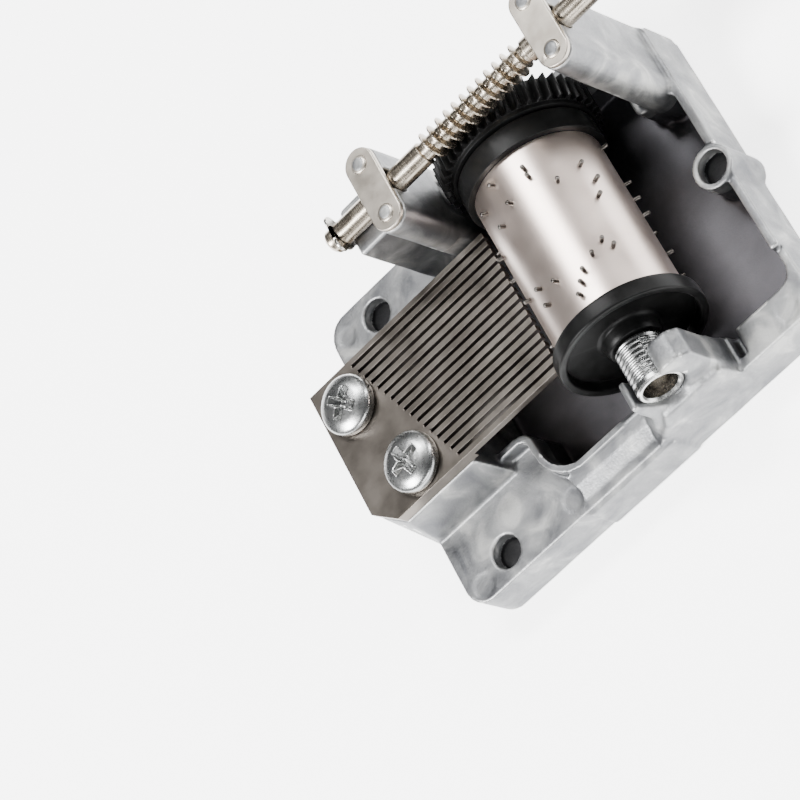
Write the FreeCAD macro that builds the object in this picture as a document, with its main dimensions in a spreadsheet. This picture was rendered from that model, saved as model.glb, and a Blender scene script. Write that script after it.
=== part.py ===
import FreeCAD, Part

import math
import os

from FreeCAD import Matrix, Placement, Rotation, Vector

# Hand-cranked cylinder music movement. X runs along the comb teeth, from the comb's root to the far rim.
# Y runs from the threaded bush to the worm wheel. Z is up from the underside of the cast base.

DIMENSIONS = {
    "base_length": 42.4, "base_width": 33.2, "plate_top": 4.5, "floor_top": 1.2, "ear_round": 2.4,
    "ear_hole_x": -15.7, "ear_hole_y": 13.9, "hole_rad": 1.3, "counter_rad": 1.5, "counter_deep": 1.2,
    "rim_hole_x": 19.9, "boss_rad": 2.05, "rim_thick": 0.9, "rim_top": 5.2, "lip_top": 6.0, "lip_thick": 0.7,
    "axis_x": 7.27, "axis_z": 9.6, "shaft_y": 12.8, "shaft_z": 18.4, "shaft_rad": 1.14,
    "sleeve_rad": 6.13, "sleeve_wall": 0.4, "sleeve_start": -8.66, "sleeve_end": 8.58,
    "pin_rad": 0.21, "pin_tall": 0.8, "note_pitch": 0.9, "note_count": 18, "first_note": 8.135,
    "wheel_rad": 7.05, "wheel_thick": 1.71, "wheel_wall": 0.75, "hub_rad": 2.65,
    "arbor_rad": 1.25, "bush_rad": 2.2, "bush_bore": 1.65, "bush_end": -15.36, "bush_start": -10.75,
    "bush_pitch": 0.5, "bush_wall": 0.95, "lead": 1.03, "tooth_count": 46, "worm_tip": 1.5, "worm_root": 0.92,
    "worm_start": 3.6, "worm_end": 15.9,
    "gear_tip": 7.72, "gear_root": 7.05, "gear_start": 11.5, "gear_end": 14.1, "neck_rad": 6.1,
    "comb_root_x": -22.75, "comb_tip_x": 0.2, "comb_edge": 8.41, "comb_wide": 15.85, "comb_top": 10.2,
    "comb_thick": 1.4, "tooth_thick": 0.75, "slot_wide": 0.35, "slot_root": -17.43, "slot_step": 0.32,
    "comb_bevel": 2.2, "screw_x": -17.85, "screw_dx": 1.45, "screw_y": 0.1, "screw_dy": 4.5,
    "screw_head": 2.85, "screw_rad": 1.3,
    "strap_left_x": -2.05, "strap_right_x": 18.99, "rivet_gap": 5.7, "strap_end": 1.6, "strap_thick": 0.5,
    "stud_rad": 0.75, "rib_x": -7.5, "rib_y": 10.4, "shaft_left": -9.0, "shaft_right": 31.0, "clip_x": -7.95,
    "clip_thick": 0.29, "crank_reach": 13.5, "crank_thick": 1.2, "knob_rad": 3.2, "knob_long": 9.0,
    "tray_front": -12.9, "tray_back": 9.0, "bay_left": 0.6, "bay_right": 16.4, "bay_back": 15.2,
    "play": 0.05, "clearance": 0.35, "stud_head": 0.26, "mark_deep": 0.08,
}

doc = FreeCAD.newDocument("music_movement")
sheet = doc.addObject("Spreadsheet::Sheet", "sizes")
for row, (alias, value) in enumerate(DIMENSIONS.items(), start=1):
    sheet.set("A%d" % row, alias)
    sheet.set("B%d" % row, str(value))
    sheet.setAlias("B%d" % row, alias)
doc.recompute()

parts = []


def size(alias):
    """The value of one cell of the sheet."""
    return float(sheet.get(alias))


def bind(thing, **expressions):
    """Bind properties to the sheet. A bare alias in braces stands for its cell."""
    for name, text in expressions.items():
        thing.setExpression(name.replace("__", "."), text.replace("{", "sizes.").replace("}", ""))


def place(thing, x="0", y="0", z="0"):
    bind(thing, Placement__Base__x=x, Placement__Base__y=y, Placement__Base__z=z)


TURNS = {"x": Rotation(Vector(0, 1, 0), 90), "y": Rotation(Vector(1, 0, 0), -90), "z": Rotation()}


def block(name, long, wide, tall, x="0", y="0", z="0"):
    thing = doc.addObject("Part::Box", name)
    bind(thing, Length=long, Width=wide, Height=tall)
    place(thing, x, y, z)
    return thing


def rod(name, radius, length, axis="z", x="0", y="0", z="0"):
    thing = doc.addObject("Part::Cylinder", name)
    thing.Placement = Placement(Vector(), TURNS[axis])
    bind(thing, Radius=radius, Height=length)
    place(thing, x, y, z)
    return thing


def taper(name, first, second, length, axis="z", x="0", y="0", z="0"):
    thing = doc.addObject("Part::Cone", name)
    thing.Placement = Placement(Vector(), TURNS[axis])
    bind(thing, Radius1=first, Radius2=second, Height=length)
    place(thing, x, y, z)
    return thing


def fuse(name, things):
    joined = doc.addObject("Part::MultiFuse", name)
    joined.Shapes = things
    joined.Refine = True
    return joined


def cut(name, base, tools):
    tool = tools[0] if len(tools) == 1 else fuse(name + "_tools", tools)
    result = doc.addObject("Part::Cut", name)
    result.Base = base
    result.Tool = tool
    return result


def shaped(name, shape):
    """A feature whose shape comes from code that has read the sheet."""
    thing = doc.addObject("Part::Feature", name)
    thing.Shape = shape
    thing.Placement = Placement()
    return thing


def finish(thing, label):
    thing.Label = label
    parts.append(thing)
    return thing


def rounded(points, height, bottom):
    """A prism over a plan outline of (x, y, corner radius) points that run anticlockwise."""
    edges = []
    count = len(points)
    runs = []
    for index, (x, y, radius) in enumerate(points):
        here = Vector(x, y, bottom)
        before = Vector(*points[index - 1][:2], bottom)
        after = Vector(*points[(index + 1) % count][:2], bottom)
        back = (before - here).normalize()
        ahead = (after - here).normalize()
        if radius <= 0:
            runs.append((here, None, here))
            continue
        half = back.getAngle(ahead) / 2
        reach = radius / math.tan(half)
        middle = here + (back + ahead).normalize() * (radius / math.sin(half) - radius)
        runs.append((here + back * reach, middle, here + ahead * reach))
    for index, (start, middle, end) in enumerate(runs):
        if middle is not None:
            edges.append(Part.Arc(start, middle, end).toShape())
        following = runs[(index + 1) % count][0]
        if (following - end).Length > 1e-6:
            edges.append(Part.LineSegment(end, following).toShape())
    return Part.Face(Part.Wire(edges)).extrude(Vector(0, 0, height))


def sketch_on(body, role, name):
    plane = [item for item in body.Origin.OriginFeatures if item.Role == role][0]
    sketch = body.newObject("Sketcher::SketchObject", name)
    sketch.AttachmentSupport = (plane, [""])
    sketch.MapMode = "FlatFace"
    return sketch


def draw_polygon(sketch, corners):
    for index, corner in enumerate(corners):
        following = corners[(index + 1) % len(corners)]
        sketch.addGeometry(Part.LineSegment(Vector(*corner, 0), Vector(*following, 0)), False)


# ---------------------------------------------------------------- cast base

def cavity_outline():
    """The tray's hollow: under the teeth, around the drum and under the worm wheel."""
    right = size("base_length") / 2 - size("rim_thick")
    front = size("tray_front")
    back = size("tray_back")
    left_bay = size("bay_left")
    right_bay = size("bay_right")
    bay_back = size("bay_back")
    return [(-11.6, -6.9, 0.6), (-7.4, -6.9, 1.5), (-7.4, front, 3.4),
            (right, front, 1.5), (right, back, 1.2), (right_bay, back, 0.8), (right_bay, bay_back, 1.0),
            (left_bay, bay_back, 1.0), (left_bay, back + 0.4, 0.8), (-11.6, back + 0.4, 0.6)]


def make_base():
    long = size("base_length") / 2
    wide = size("base_width") / 2
    plate = size("plate_top")
    ear = size("ear_round")
    corner = 1.6
    outline = rounded([(-long, -wide, ear), (long, -wide, corner), (long, wide, corner), (-long, wide, ear)],
                      plate, 0)
    rim = rounded([(long - 6, -10, 0), (long, -10, 0.4), (long, wide, corner), (long - 6, wide, 0)],
                  size("rim_top") - 1, 1)
    solid = outline.fuse(rim)
    # The raised lip beside the hollow, from the comb's bed to the bush post.
    lip = size("lip_thick")
    front = size("tray_front")
    lip_outline = [(-11.6, -6.9 - lip, 0), (-7.4 - lip, -6.9 - lip, 0.9), (-7.4 - lip, front - lip, 4.1),
                   (4.6, front - lip, 0), (4.6, -9.0, 0), (-11.6, -5.9, 0)]
    solid = solid.fuse(rounded(lip_outline, size("lip_top") - 1, 1))
    slope = [(-16.2, plate - 0.2), (-13.3, plate - 0.2), (-13.3, size("lip_top") - 0.2), (-14.2, plate + 0.5)]
    wire = Part.makePolygon([Vector(-6.5, y, z) for y, z in slope + slope[:1]])
    solid = solid.fuse(Part.Face(wire).extrude(Vector(10.5, 0, 0)))
    # Proud panel on the outer wall below the lip.
    solid = solid.fuse(Part.makeBox(10.4, 0.4, plate - 0.6, Vector(-7.0, -wide - 0.25, 0.2)))
    solid = solid.cut(rounded(cavity_outline(), 30, size("floor_top")))
    solid = solid.fuse(make_comb_bed())
    solid = solid.fuse(make_left_post()).fuse(make_right_post()).fuse(make_rear_wall())
    solid = solid.fuse(make_bush_post())
    boss = Part.makeCylinder(size("boss_rad"), size("rim_top") + 0.25, Vector(size("rim_hole_x"), 0, 0))
    solid = solid.fuse(boss)
    solid = solid.cut(make_base_holes())
    return solid.removeSplitter()


def make_comb_bed():
    """The bed that the comb is screwed to, with sloping flanks down to the plate."""
    top = size("comb_top") - size("comb_thick")
    root = size("comb_root_x") + 0.05
    low = size("comb_edge") - size("comb_wide") - 0.15
    high = size("comb_edge") + 0.05
    bevel = size("comb_bevel")
    head = [(root, low + bevel), (root + bevel, low), (-11.9, low), (-11.9, high), (root, high)]
    foot = [(root, low + 0.6), (root + 1.4, low - 1.9), (-10.2, low - 1.9), (-10.2, high), (root, high)]
    wires = []
    for level, ring in ((size("floor_top"), foot), (top, head)):
        wires.append(Part.makePolygon([Vector(x, y, level) for x, y in ring + ring[:1]]))
    bed = Part.makeLoft(wires, True, True)
    base = Part.makePolygon([Vector(x, y, 0) for x, y in foot + foot[:1]])
    return bed.fuse(Part.Face(base).extrude(Vector(0, 0, size("floor_top") + 0.2)))


def shaft_groove(start, length):
    """The open groove that the shaft turns in, a running fit below and open above."""
    radius = size("shaft_rad") + size("play")
    y = size("shaft_y")
    z = size("shaft_z")
    tube = Part.makeCylinder(radius, length, Vector(start, y, z), Vector(1, 0, 0))
    return tube.fuse(Part.makeBox(length, 2 * radius, 4, Vector(start, y - radius, z)))


def strap_seat():
    """The height of the pillars' tops, just over the shaft."""
    return size("shaft_z") + size("shaft_rad") + size("play")


def strap_pad(centre, bottom):
    """The stadium-shaped pillar under a strap, with the two studs that are peened over it."""
    half = size("strap_end") + 0.05
    gap = size("rivet_gap") / 2
    y = size("shaft_y")
    top = strap_seat()
    reach = gap + half
    corners = ((-half, -reach), (half, -reach), (half, reach), (-half, reach))
    pillar = rounded([(centre + dx, y + dy, half * 0.98) for dx, dy in corners], top - bottom, bottom)
    stud_rad = size("stud_rad")
    sunk = 0.05
    for side in (-gap, gap):
        foot = Vector(centre, y + side, top)
        stud = Part.makeCylinder(stud_rad, size("strap_thick") + sunk, foot - Vector(0, 0, sunk))
        head = Part.makeCone(stud_rad + 0.12, stud_rad * 0.7, size("stud_head"),
                             foot + Vector(0, 0, size("strap_thick")))
        pillar = pillar.fuse(stud).fuse(head)
    return pillar


def make_left_post():
    centre = size("strap_left_x")
    rib_x = size("rib_x")
    rib_y = size("rib_y")
    pad = strap_pad(centre, 0.5)
    rib_back = 15.6
    rib = rounded([(rib_x, rib_y, 0.3), (centre, rib_y, 0), (centre, rib_back, 0), (rib_x, rib_back, 0.6)],
                  16.9, 0.5)
    left = rib_x - 0.5
    right = size("bay_left")
    foot = rounded([(left, rib_y - 0.6, 0.6), (right, 9.2, 0), (right, 16.5, 0), (left, 16.5, 1.0)], 3.4, 2.1)
    post = pad.fuse(rib).fuse(foot)
    return post.cut(shaft_groove(rib_x - 1, centre + size("strap_end") - rib_x + 3))


def make_right_post():
    centre = size("strap_right_x")
    pad = strap_pad(centre, 0.5)
    left = centre - 2.4
    right = size("base_length") / 2
    foot = rounded([(left, 9.2, 0.5), (right, 9.0, 0), (right, 15.9, 0), (left, 15.9, 0)], 4.2, 0.5)
    post = pad.fuse(foot)
    return post.cut(shaft_groove(centre - 4, 10))


def make_rear_wall():
    """The wall behind the worm wheel, which holds the rear bush of the drum."""
    wide = size("base_width") / 2
    inner = size("bay_back")
    left = -1.0
    right = size("strap_right_x")
    wall = rounded([(left, inner, 0), (right, inner, 0), (right, wide, 0), (left, wide, 0)], 8.0, 0.5)
    x = size("axis_x")
    z = size("axis_z")
    boss_rad = 3.4
    boss = Part.makeCylinder(boss_rad, wide - inner, Vector(x, inner, z), Vector(0, 1, 0))
    shoulder = Part.makeBox(2 * boss_rad, wide - inner, 2.0, Vector(x - boss_rad, inner, z - 2.0))
    return wall.fuse(boss).fuse(shoulder)


def make_bush_post():
    x = size("axis_x")
    z = size("axis_z")
    face = -size("base_width") / 2
    deep = -12.75 - face
    profile = [(x - 5.2, 0.2), (x + 5.4, 0.2), (x + 4.6, z - 1.2), (x + 4.6, z + 1.6), (x + 3.6, z + 2.5),
               (x + 2.1, z + 2.6), (x + 1.2, z + 2.0), (x + 1.2, z), (x - 2.45, z), (x - 2.45, z + 0.9),
               (x - 3.2, z + 0.9), (x - 3.3, z - 2.4), (x - 5.2, 4.4)]
    wire = Part.makePolygon([Vector(px, face + 0.8, pz) for px, pz in profile + profile[:1]])
    post = Part.Face(wire).extrude(Vector(0, deep - 0.8, 0))
    skirt = [(x - 5.2, 0.2), (x + 5.4, 0.2), (x + 4.4, z - 2.4), (x + 2.0, z - 2.2), (x - 2.2, z - 2.2),
             (x - 3.0, z - 3.4), (x - 5.2, 4.4)]
    wire = Part.makePolygon([Vector(px, face, pz) for px, pz in skirt + skirt[:1]])
    post = post.fuse(Part.Face(wire).extrude(Vector(0, 1.0, 0)))
    return post


def make_base_holes():
    tools = []
    spots = [(size("ear_hole_x"), size("ear_hole_y"), size("plate_top")),
             (size("ear_hole_x"), -size("ear_hole_y"), size("plate_top")),
             (size("rim_hole_x"), 0, size("rim_top") + 0.25)]
    for x, y, top in spots:
        tools.append(Part.makeCylinder(size("hole_rad"), top + 2, Vector(x, y, -1)))
        tools.append(Part.makeCylinder(size("counter_rad"), 2, Vector(x, y, top - size("counter_deep"))))
    # Bores of the front cradle and the rear bush, and the running room of the drum and the worm wheel.
    along = Vector(0, 1, 0)
    room = size("clearance")
    for radius, start, end in ((size("bush_rad"), -17.5, -11.5),
                               (size("arbor_rad") + size("bush_wall"), 15, 18),
                               (size("wheel_rad") + room, -10.6, 11.0),
                               (size("gear_tip") + room, size("gear_start") - 0.6, size("gear_end") + 0.5)):
        foot = Vector(size("axis_x"), start, size("axis_z"))
        tools.append(Part.makeCylinder(radius, end - start, foot, along))
    for x, y in screw_spots():
        tools.append(Part.makeCylinder(size("screw_rad"), 6.2, Vector(x, y, 3.0)))
    # Shallow moulding marks of the ejector pins, and the lower notch right of the bush post.
    for x, y, radius in ((-19.5, 14.4, 1.0), (-19.2, -15.0, 1.2), (-7.6, -14.6, 1.15), (18.5, -14.9, 1.2)):
        tools.append(Part.makeCylinder(radius, 1, Vector(x, y, size("plate_top") - size("mark_deep"))))
    tools.append(Part.makeBox(1.0, 2.6, 3, Vector(12.5, -15.4, 3.2)))
    # Room for the comb's edge beside the left post.
    tools.append(Part.makeBox(12, 2, 4.6, Vector(-11.4, size("comb_edge") - 1.75, size("comb_top") - 3)))
    joined = tools[0]
    for tool in tools[1:]:
        joined = joined.fuse(tool)
    return joined


def screw_spots():
    x = size("screw_x")
    y = size("screw_y")
    return [(x - size("screw_dx"), y + size("screw_dy")), (x + size("screw_dx"), y - size("screw_dy"))]


# ---------------------------------------------------------------- comb and its screws

def tooth_middle(note):
    """The Y of one tooth's middle. Note 0 is the longest tooth, on the worm wheel's side."""
    return size("first_note") - note * size("note_pitch")


def make_comb():
    body = doc.addObject("PartDesign::Body", "comb_body")
    root = size("comb_root_x")
    tip = size("comb_tip_x")
    high = size("comb_edge")
    low = high - size("comb_wide")
    bevel = size("comb_bevel")
    plan = sketch_on(body, "XY_Plane", "comb_plan")
    draw_polygon(plan, [(root, low + bevel), (root + bevel, low), (tip, low), (tip, high), (root, high)])
    plate = body.newObject("PartDesign::Pad", "comb_plate")
    plate.Profile = plan
    bind(plate, Length="{comb_thick}")
    holes = sketch_on(body, "XY_Plane", "comb_cuts")
    for x, y in screw_spots():
        holes.addGeometry(Part.Circle(Vector(x, y, 0), Vector(0, 0, 1), size("screw_rad") + 0.1), False)
    for slot in range(int(size("note_count")) - 1):
        middle = tooth_middle(slot) - size("note_pitch") / 2
        start = size("slot_root") + size("slot_step") * slot
        half = size("slot_wide") / 2
        draw_polygon(holes, [(start, middle - half), (tip + 1, middle - half), (tip + 1, middle + half),
                             (start, middle + half)])
    cuts = body.newObject("PartDesign::Pocket", "comb_slots")
    cuts.Profile = holes
    cuts.Type = "ThroughAll"
    cuts.Midplane = True
    relief = sketch_on(body, "XY_Plane", "comb_relief")
    last = size("slot_root") + size("slot_step") * (size("note_count") - 2)
    draw_polygon(relief, [(size("slot_root") + 1.4, high + 1), (last + 1.4, low - 1), (tip + 1, low - 1),
                          (tip + 1, high + 1)])
    thin = body.newObject("PartDesign::Pocket", "comb_thinning")
    thin.Profile = relief
    thin.Reversed = True
    bind(thin, Length="{comb_thick} - {tooth_thick}")
    place(body, z="{comb_top} - {comb_thick}")
    body.Tip = thin
    return finish(body, "comb")


def make_screws():
    screws = []
    for number, (x, y) in enumerate(screw_spots()):
        name = "screw_%d" % number
        where = {"x": str(x), "y": str(y)}
        shank = rod(name + "_shank", "{screw_rad}", "6.8", z="{comb_top} - 6.75", **where)
        head = rod(name + "_head", "{screw_head}", "0.95", z="{comb_top}", **where)
        dome = taper(name + "_dome", "{screw_head}", "{screw_head} * 0.72", "0.75", z="{comb_top} + 0.95",
                     **where)
        turn = Rotation(Vector(0, 0, 1), 42 - 27 * number)
        arms = []
        for arm, angle in enumerate((0, 90)):
            slot = doc.addObject("Part::Box", "%s_slot_%d" % (name, arm))
            bind(slot, Length="{screw_head} * 1.1", Width="0.62", Height="1.4")
            spin = turn.multiply(Rotation(Vector(0, 0, 1), angle))
            corner = spin.multVec(Vector(-size("screw_head") * 0.55, -0.31, 0))
            slot.Placement = Placement(Vector(x, y, size("comb_top") + 0.75) + corner, spin)
            arms.append(slot)
        screws.append(cut(name, fuse(name + "_blank", [shank, head, dome]), arms))
    group = doc.addObject("Part::Compound", "screw_pair")
    group.Links = screws
    return finish(group, "comb_screws")


LEAD_SIZES = [(2.6, 1.9), (2.4, 1.8), (2.2, 1.7), (2.0, 1.5), (1.8, 1.4), (1.6, 1.2), (1.4, 1.0), (1.2, 0.8)]


def make_leads():
    """Tuning weights soldered under the eight longest teeth, near their tips."""
    weights = []
    for note, (long, tall) in enumerate(LEAD_SIZES):
        edge = "{first_note} - {note_pitch} * %d - ({note_pitch} - {slot_wide}) / 2 + 0.02" % note
        weights.append(block("lead_%d" % note, str(long), "{note_pitch} - {slot_wide} - 0.04", str(tall),
                             "{comb_tip_x} - 1.1 - %s" % long, edge,
                             "{comb_top} - {tooth_thick} - %s" % tall))
    group = doc.addObject("Part::Compound", "lead_group")
    group.Links = weights
    return finish(group, "tuning_leads")


def make_dampers():
    """Fine damper tongues bonded under the shorter teeth."""
    tongues = []
    for note in range(len(LEAD_SIZES), int(size("note_count"))):
        edge = "{first_note} - {note_pitch} * %d - 0.18" % note
        tongues.append(block("damper_%d" % note, "2.4", "0.36", "0.12", "{comb_tip_x} - 2.7", edge,
                             "{comb_top} - {tooth_thick} - 0.12"))
    group = doc.addObject("Part::Compound", "damper_group")
    group.Links = tongues
    return finish(group, "tooth_dampers")


# ---------------------------------------------------------------- drum

# The arrangement of pins: for each note, the steps of one turn at which it is plucked, out of 60.
STEPS = 60
TUNE = [(30, 44), (17, 36, 49, 58), (12, 21, 33, 41), (12, 29, 38, 52), (5, 16, 31, 45), (9, 19, 40, 56),
        (4, 24, 35, 50), (28, 43, 56), (5, 37, 47), (32, 56), (39, 53), (34, 46), (23, 42, 51),
        (8, 19, 30, 48), (7, 10, 16, 38, 56), (12, 19, 29, 44), (13, 33, 49, 54), (14, 36, 45)]


def make_sleeve():
    """The steel sleeve with its pins, all one piece."""
    start = Vector(size("axis_x"), size("sleeve_start"), size("axis_z"))
    long = size("sleeve_end") - size("sleeve_start")
    along = Vector(0, 1, 0)
    radius = size("sleeve_rad")
    pegs = []
    for note, steps in enumerate(TUNE):
        for step in steps:
            angle = 2 * math.pi * step / STEPS
            out = Vector(math.cos(angle), 0, math.sin(angle))
            foot = Vector(size("axis_x"), tooth_middle(note), size("axis_z")) + out * (radius - 0.2)
            tall = size("pin_tall") + 0.1
            peg = Part.makeCylinder(size("pin_rad"), tall, foot, out)
            tip = Part.makeCone(size("pin_rad"), size("pin_rad") * 0.55, 0.1, foot + out * tall, out)
            pegs.append(peg.fuse(tip))
    solid = Part.makeCylinder(radius, long, start, along).fuse(pegs)
    solid = solid.cut(Part.makeCylinder(radius - size("sleeve_wall"), long, start, along))
    return finish(shaped("sleeve", solid.removeSplitter()), "drum_sleeve")


def ring(name, outer, inner, length, start):
    """A tube on the drum's axis."""
    where = {"axis": "y", "x": "{axis_x}", "y": start, "z": "{axis_z}"}
    return cut(name, rod(name + "_out", outer, length, **where), [rod(name + "_in", inner, length, **where)])


def make_end_wheel():
    bore = "{arbor_rad}"
    rim = ring("wheel_rim", "{wheel_rad}", "{wheel_rad} - {wheel_wall}", "{wheel_thick}",
               "{sleeve_start} - {wheel_thick}")
    web = ring("wheel_web", "{wheel_rad} - 0.1", bore, "0.6", "{sleeve_start} - 0.6")
    hub = ring("wheel_hub", "{hub_rad}", bore, "{sleeve_start} - {bush_start} - 0.08", "{bush_start} + 0.08")
    spigot = ring("wheel_spigot", "{sleeve_rad} - {sleeve_wall}", "{sleeve_rad} - {sleeve_wall} - 0.9", "4",
                  "{sleeve_start}")
    boss = ring("wheel_boss", "2.4", bore, "7.4", "{sleeve_start}")
    return finish(fuse("end_wheel", [rim, web, hub, spigot, boss]), "drum_end_wheel")


def gear_outline(level, turn):
    """One cross-section of the worm wheel, at one Y and turned to follow the helix."""
    count = int(size("tooth_count"))
    pitch = 2 * math.pi / count
    middle = (size("gear_tip") + size("gear_root")) / 2
    profile = [(-0.27, size("gear_root")), (-0.15, middle), (-0.075, size("gear_tip")),
               (0.075, size("gear_tip")), (0.15, middle), (0.27, size("gear_root"))]
    points = []
    for tooth in range(count):
        for part, radius in profile:
            angle = (tooth + part) * pitch + turn
            points.append(Vector(size("axis_x") + radius * math.sin(angle), level,
                                 size("axis_z") + radius * math.cos(angle)))
    return Part.makePolygon(points + points[:1])


def make_gear():
    radius = size("lead") * size("tooth_count") / (2 * math.pi)
    worm_radius = size("shaft_z") - size("axis_z") - radius
    slope = size("lead") / (2 * math.pi * worm_radius) / radius
    half = (size("gear_end") - size("gear_start")) / 2
    wires = [gear_outline(size("shaft_y") + side * half, slope * side * half) for side in (-1, 1)]
    disc = Part.makeLoft(wires, True, True)
    centre = Vector(size("axis_x"), size("gear_start") - 0.5, size("axis_z"))
    disc = disc.cut(Part.makeCylinder(size("arbor_rad"), 5, centre, Vector(0, 1, 0)))
    teeth = shaped("gear_teeth", disc)
    bore = "{arbor_rad}"
    collar = ring("gear_collar", "6.75", bore, "2.2", "{sleeve_end}")
    neck = ring("gear_neck", "{neck_rad}", bore, "{gear_start} - {sleeve_end} - 1.9", "{sleeve_end} + 1.9")
    flange = ring("gear_flange", "7.0", bore, "0.5", "{gear_start} - 0.45")
    spigot = ring("gear_spigot", "{sleeve_rad} - {sleeve_wall}", "{sleeve_rad} - {sleeve_wall} - 0.9", "4",
                  "{sleeve_end} - 4")
    boss = ring("gear_boss", "2.4", bore, "7.4", "{sleeve_end} - 7.4")
    return finish(fuse("worm_wheel", [teeth, collar, neck, flange, spigot, boss]), "drum_gear")


def make_arbor():
    arbor = rod("arbor_rod", "{arbor_rad}", "28.6", "y", "{axis_x}", "-12.9", "{axis_z}")
    return finish(arbor, "drum_arbor")


def make_bush():
    """The threaded bush: turned rings of thread, a bore and a narrower bearing at its inner end."""
    radius = size("bush_rad")
    pitch = size("bush_pitch")
    start = size("bush_start")
    end = size("bush_end")
    bearing = size("arbor_rad") + size("play")
    bore = size("bush_bore")
    step = -13.1
    chamfer = 0.15
    groove = radius - 0.25
    level = start - 0.35
    profile = [(bearing, start), (radius - 0.3, start), (groove, level)]
    while level - pitch > end + 2 * chamfer:
        profile += [(radius, level - pitch * 0.4), (radius, level - pitch * 0.6), (groove, level - pitch)]
        level -= pitch
    profile += [(radius - 0.02, level - 0.2), (radius - 0.02, end + 0.1), (radius - chamfer, end),
                (bore + chamfer, end), (bore, end + chamfer), (bore, step), (bearing, step)]
    body = doc.addObject("PartDesign::Body", "bush_body")
    section = sketch_on(body, "XY_Plane", "bush_section")
    draw_polygon(section, profile)
    turned = body.newObject("PartDesign::Revolution", "bush_turned")
    turned.Profile = section
    turned.ReferenceAxis = (section, ["V_Axis"])
    turned.Angle = 360
    place(body, "{axis_x}", "0", "{axis_z}")
    return finish(body, "end_bush")


def make_rear_bush():
    bush = ring("rear_bush", "{arbor_rad} + {bush_wall}", "{arbor_rad} + {play}", "{base_width} / 2 - 15.1",
                "15.1")
    return finish(bush, "rear_bush")


# ---------------------------------------------------------------- straps, worm shaft and crank

def make_strap(side):
    centre = size("strap_%s_x" % side)
    end = size("strap_end")
    gap = size("rivet_gap") / 2
    y = size("shaft_y")
    body = doc.addObject("PartDesign::Body", "strap_%s_body" % side)
    plan = sketch_on(body, "XY_Plane", "strap_%s_plan" % side)
    east = Vector(1, 0, 0)
    for sign in (-1, 1):
        middle = Vector(0, sign * gap, 0)
        plan.addGeometry(Part.Arc(middle - east * end * sign, middle + Vector(0, sign * end, 0),
                                  middle + east * end * sign), False)
        plan.addGeometry(Part.Circle(middle, Vector(0, 0, 1), size("stud_rad")), False)
        plan.addGeometry(Part.LineSegment(Vector(sign * end, -gap, 0), Vector(sign * end, gap, 0)), False)
    plate = body.newObject("PartDesign::Pad", "strap_%s_plate" % side)
    plate.Profile = plan
    bind(plate, Length="{strap_thick}")
    place(body, str(centre), str(y), "{shaft_z} + {shaft_rad} + {play}")
    return finish(body, "strap_" + side)


def make_worm_shaft():
    """The shaft with its single-start worm, the clip groove at its left end and a flat for the crank."""
    y = size("shaft_y")
    z = size("shaft_z")
    start = size("shaft_left")
    axis = Vector(1, 0, 0)
    radius = size("shaft_rad")
    left = size("worm_start")
    right = size("worm_end")
    clip = size("clip_x")
    groove = 0.35
    relief = 0.4
    seat = size("shaft_right") - 2.4
    runs = [(start, start + 0.35, radius - 0.25), (start + 0.35, clip, radius),
            (clip, clip + groove, radius - groove), (clip + groove, left - relief, radius),
            (left - relief, right + relief, size("worm_root")), (right + relief, seat, radius),
            (seat, size("shaft_right"), radius - 0.3)]
    solid = None
    for first, last, run_radius in runs:
        piece = Part.makeCylinder(run_radius, last - first, Vector(first, y, z), axis)
        solid = piece if solid is None else solid.fuse(piece)
    thread = make_worm_thread(left, right)
    return finish(shaped("worm_shaft", solid.fuse(thread).removeSplitter()), "worm_shaft")


def make_worm_thread(left, right):
    """A right-hand thread whose ridges lie midway between the wheel's teeth in the rest position."""
    lead = size("lead")
    phase = (size("axis_x") + 0.75 * lead - left) % lead
    first = left + phase
    turns = int((right - first) / lead)
    root = size("worm_root") - 0.1
    tip = size("worm_tip")
    helix = Part.makeHelix(lead, turns * lead, root)
    half_root = 0.24
    half_tip = 0.07
    profile = [(root, -half_root), (tip, -half_tip), (tip, half_tip), (root, half_root)]
    section = Part.makePolygon([Vector(x, 0, z) for x, z in profile + profile[:1]])
    thread = Part.Wire(helix).makePipeShell([section], True, True)
    to_shaft = Matrix(0, 0, 1, first, 1, 0, 0, size("shaft_y"), 0, 1, 0, size("shaft_z"), 0, 0, 0, 1)
    thread.Placement = Placement(to_shaft)
    return thread


def make_clip():
    """The retaining clip in the groove at the shaft's left end: an open ring with three lobes."""
    x = size("clip_x") + 0.03
    y = size("shaft_y")
    z = size("shaft_z")
    axis = Vector(1, 0, 0)
    thick = size("clip_thick")
    blank = Part.makeCylinder(1.55, thick, Vector(x, y, z), axis)
    for angle in (30, 150, 270):
        out = Vector(0, math.cos(math.radians(angle)), math.sin(math.radians(angle)))
        blank = blank.fuse(Part.makeCylinder(0.75, thick, Vector(x, y, z) + out * 1.35, axis))
    inner = size("shaft_rad") - 0.35
    clip = blank.cut(Part.makeCylinder(inner, thick, Vector(x, y, z), axis))
    clip = clip.cut(Part.makeBox(thick, 2 * inner * 0.8, 4, Vector(x, y - inner * 0.8, z + 0.1)))
    return finish(shaped("shaft_clip", clip), "shaft_clip")


def shaft_ring(name, outer, length, start, inner="{shaft_rad}"):
    where = {"axis": "x", "x": start, "y": "{shaft_y}", "z": "{shaft_z}"}
    return cut(name, rod(name + "_out", outer, length, **where), [rod(name + "_in", inner, length, **where)])


def make_crank_hub():
    """The pressed-on collar that the crank arm is clamped against."""
    return finish(shaft_ring("crank_hub", "1.9", "2.2", "{shaft_right} - 4.6"), "crank_hub")


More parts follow.
